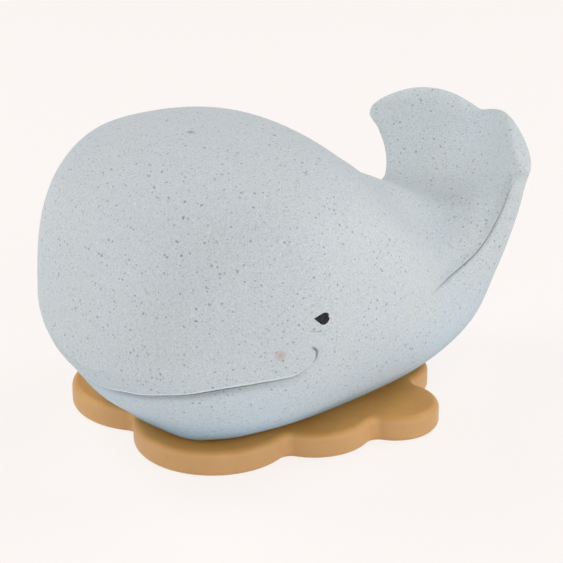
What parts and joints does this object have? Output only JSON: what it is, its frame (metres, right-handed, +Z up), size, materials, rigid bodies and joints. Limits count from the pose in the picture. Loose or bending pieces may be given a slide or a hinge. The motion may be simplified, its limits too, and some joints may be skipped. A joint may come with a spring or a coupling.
{
  "type": "bath toy whale",
  "caption": "Hollow rubber whale for the bath, seated on a lobed stopper plate whose plug carries a small reed squeaker.",
  "frame": {"origin": "on the underside of the stopper plate, on the axis of its plug and of the neck in the whale's belly", "axes": "+Z up, -X towards the snout, +X towards the tail, +Y on the side away from the camera"},
  "size_m": [0.1395, 0.0924, 0.0826],
  "materials": {
    "pale_rubber": "matte natural rubber with fine darker specks",
    "tan_rubber": "semi-matte natural rubber",
    "dark_rubber": "smooth, slightly shiny",
    "white_plastic": "moulded, satin",
    "reed_film": "thin springy plastic strip"
  },
  "bodies": {
    "base": {"base_plate": "tan_rubber", "squeaker_cup": "white_plastic", "squeaker_cap": "white_plastic", "reed_plate": "white_plastic"},
    "reed": {"squeaker_reed": "reed_film"},
    "whale": {"whale_body": "pale_rubber", "eye_left": "dark_rubber", "eye_right": "dark_rubber"}
  },
  "joints": [
    {"name": "body_lift", "type": "slide", "parent": "base", "child": "whale", "axis": [0, 0, 1], "range_m": [0, 0.045]},
    {"name": "reed_flutter", "type": "hinge", "parent": "base", "child": "reed", "pos_m": [-0.0045, 0, 0.0082], "axis": [0, 1, 0], "range_deg": [-2.5, 4], "stiffness_Nm_per_rad": 0.0001}
  ]
}
